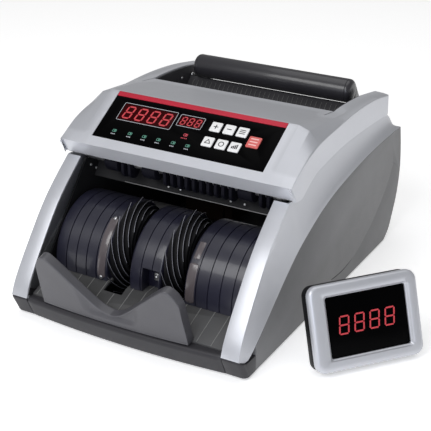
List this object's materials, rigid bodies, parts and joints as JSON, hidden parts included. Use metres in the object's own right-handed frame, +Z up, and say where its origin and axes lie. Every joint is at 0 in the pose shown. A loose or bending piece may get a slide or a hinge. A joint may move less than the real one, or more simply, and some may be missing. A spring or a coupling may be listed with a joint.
{
  "type": "banknote counting machine",
  "caption": "Desktop banknote counter with top hopper, sloping control panel, open stacker pocket with vaned wheels, and a separate counting display.",
  "frame": {"origin": "centre of the footprint of machine and display together, on the table", "axes": "+Z up, +X to the operator's right, -Y towards the operator"},
  "size_m": [0.3394, 0.3472, 0.1726],
  "materials": {
    "silver_paint": "satin silver-grey paint over ABS",
    "charcoal_plastic": "fine moulded texture",
    "side_grey": "fine spark texture",
    "stop_grey": "satin moulded ABS",
    "gloss_black": "high gloss overlay",
    "black_plastic": "semi-gloss moulded",
    "red_trim": "satin red",
    "key_white": "smooth",
    "key_red": "smooth",
    "steel": "plated",
    "rubber": "matt",
    "board": "solder mask"
  },
  "bodies": {
    "chassis": {"bottom_chassis": "charcoal_plastic", "right_side_panel": "side_grey", "left_side_panel": "side_grey", "right_side_frame": "silver_paint", "left_side_frame": "silver_paint", "top_cover": "silver_paint", "front_apron": "charcoal_plastic", "stacker_floor": "charcoal_plastic", "rear_cover": "side_grey", "note_stop_plate": "stop_grey", "left_drum_cover": "black_plastic", "centre_drum_cover": "black_plastic", "right_drum_cover": "black_plastic", "left_side_plate": "black_plastic", "right_side_plate": "black_plastic", "guide_comb": "black_plastic", "sensor_bar": "black_plastic", "hopper_plate": "charcoal_plastic", "right_hopper_wall": "charcoal_plastic", "left_hopper_wall": "charcoal_plastic", "power_inlet": "black_plastic", "fuse_holder": "black_plastic", "display_jack": "black_plastic", "main_motor": "steel", "stacker_motor": "steel", "feed_belt": "rubber", "stacker_belt": "rubber", "power_transformer": "steel", "main_board": "board", "foot_front_left": "rubber", "foot_front_right": "rubber", "foot_rear_left": "rubber", "foot_rear_right": "rubber", "panel_overlay": "gloss_black", "red_trim_bar": "red_trim", "count_display": "gloss_black", "batch_display": "gloss_black", "control_board": "board"},
    "stacker": {"stacker_shaft": "steel", "left_stacker_wheel": "black_plastic", "right_stacker_wheel": "black_plastic"},
    "feed": {"feed_roller": "rubber"},
    "pickup": {"pickup_roller": "rubber"},
    "counter": {"counting_roller": "rubber"},
    "motor_rotor": {"motor_pulley": "steel"},
    "stacker_motor_rotor": {"stacker_motor_pulley": "steel"},
    "handle": {"carrying_handle": "charcoal_plastic"},
    "switch": {"power_switch": "black_plastic"},
    "knob": {"thickness_knob": "black_plastic"},
    "display": {"display_bezel": "silver_paint", "display_shell": "black_plastic", "display_module": "gloss_black"},
    "leg": {"display_leg": "black_plastic"},
    "key_plus": {"key_plus": "key_white"},
    "key_minus": {"key_minus": "key_white"},
    "key_mode": {"key_mode": "key_white"},
    "key_add": {"key_add": "key_white"},
    "key_detect": {"key_detect": "key_white"},
    "key_batch": {"key_batch": "key_white"},
    "key_start": {"key_start": "key_red"}
  },
  "joints": [
    {"name": "stacker_spin", "type": "hinge", "parent": "chassis", "child": "stacker", "pos_m": [-0.0547, -0.0812, 0.0535], "axis": [1, 0, 0], "continuous": true},
    {"name": "feed_spin", "type": "hinge", "parent": "chassis", "child": "feed", "pos_m": [-0.0547, 0.0448, 0.086], "axis": [1, 0, 0], "continuous": true},
    {"name": "pickup_spin", "type": "hinge", "parent": "chassis", "child": "pickup", "pos_m": [-0.0547, 0.0778, 0.0975], "axis": [1, 0, 0], "continuous": true},
    {"name": "counter_spin", "type": "hinge", "parent": "chassis", "child": "counter", "pos_m": [-0.0547, -0.0552, 0.121], "axis": [1, 0, 0], "continuous": true},
    {"name": "motor_spin", "type": "hinge", "parent": "chassis", "child": "motor_rotor", "pos_m": [-0.0547, 0.1008, 0.038], "axis": [1, 0, 0], "continuous": true},
    {"name": "stacker_motor_spin", "type": "hinge", "parent": "chassis", "child": "stacker_motor_rotor", "pos_m": [-0.0547, 0.0168, 0.031], "axis": [1, 0, 0], "continuous": true},
    {"name": "handle_swing", "type": "hinge", "parent": "chassis", "child": "handle", "pos_m": [-0.0547, 0.1308, 0.14], "axis": [1, 0, 0], "range_deg": [-100, 0]},
    {"name": "switch_rock", "type": "hinge", "parent": "chassis", "child": "switch", "pos_m": [0.0139, 0.1534, 0.0346], "axis": [1, 0, 0], "range_deg": [-8, 0]},
    {"name": "knob_turn", "type": "hinge", "parent": "chassis", "child": "knob", "pos_m": [-0.1007, 0.169, 0.097], "axis": [0, 1, 0], "range_deg": [-150, 150]},
    {"name": "key_plus_press", "type": "slide", "parent": "chassis", "child": "key_plus", "axis": [0, 0.5105, -0.8599], "range_m": [0, 0.0008], "stiffness_N_per_m": 400, "springref_m": -0.0004},
    {"name": "key_minus_press", "type": "slide", "parent": "chassis", "child": "key_minus", "axis": [0, 0.5105, -0.8599], "range_m": [0, 0.0008], "stiffness_N_per_m": 400, "springref_m": -0.0004},
    {"name": "key_mode_press", "type": "slide", "parent": "chassis", "child": "key_mode", "axis": [0, 0.5105, -0.8599], "range_m": [0, 0.0008], "stiffness_N_per_m": 400, "springref_m": -0.0004},
    {"name": "key_add_press", "type": "slide", "parent": "chassis", "child": "key_add", "axis": [0, 0.5105, -0.8599], "range_m": [0, 0.0008], "stiffness_N_per_m": 400, "springref_m": -0.0004},
    {"name": "key_detect_press", "type": "slide", "parent": "chassis", "child": "key_detect", "axis": [0, 0.5105, -0.8599], "range_m": [0, 0.0008], "stiffness_N_per_m": 400, "springref_m": -0.0004},
    {"name": "key_batch_press", "type": "slide", "parent": "chassis", "child": "key_batch", "axis": [0, 0.5105, -0.8599], "range_m": [0, 0.0008], "stiffness_N_per_m": 400, "springref_m": -0.0004},
    {"name": "key_start_press", "type": "slide", "parent": "chassis", "child": "key_start", "axis": [0, 0.5105, -0.8599], "range_m": [0, 0.0008], "stiffness_N_per_m": 400, "springref_m": -0.0004},
    {"name": "display_lift", "type": "slide", "parent": "chassis", "child": "display", "axis": [0, 0, 1], "range_m": [0, 0.12]},
    {"name": "leg_fold", "type": "hinge", "parent": "display", "child": "leg", "pos_m": [0.11426, -0.06255, 0.03843], "axis": [0.6361, 0.7716, 0], "range_deg": [-33, 0]}
  ],
  "couplings": [
    {"joint": "pickup_spin", "follows": "feed_spin", "ratio": 1},
    {"joint": "motor_spin", "follows": "feed_spin", "ratio": 1.7143},
    {"joint": "stacker_motor_spin", "follows": "stacker_spin", "ratio": 1.7143}
  ]
}
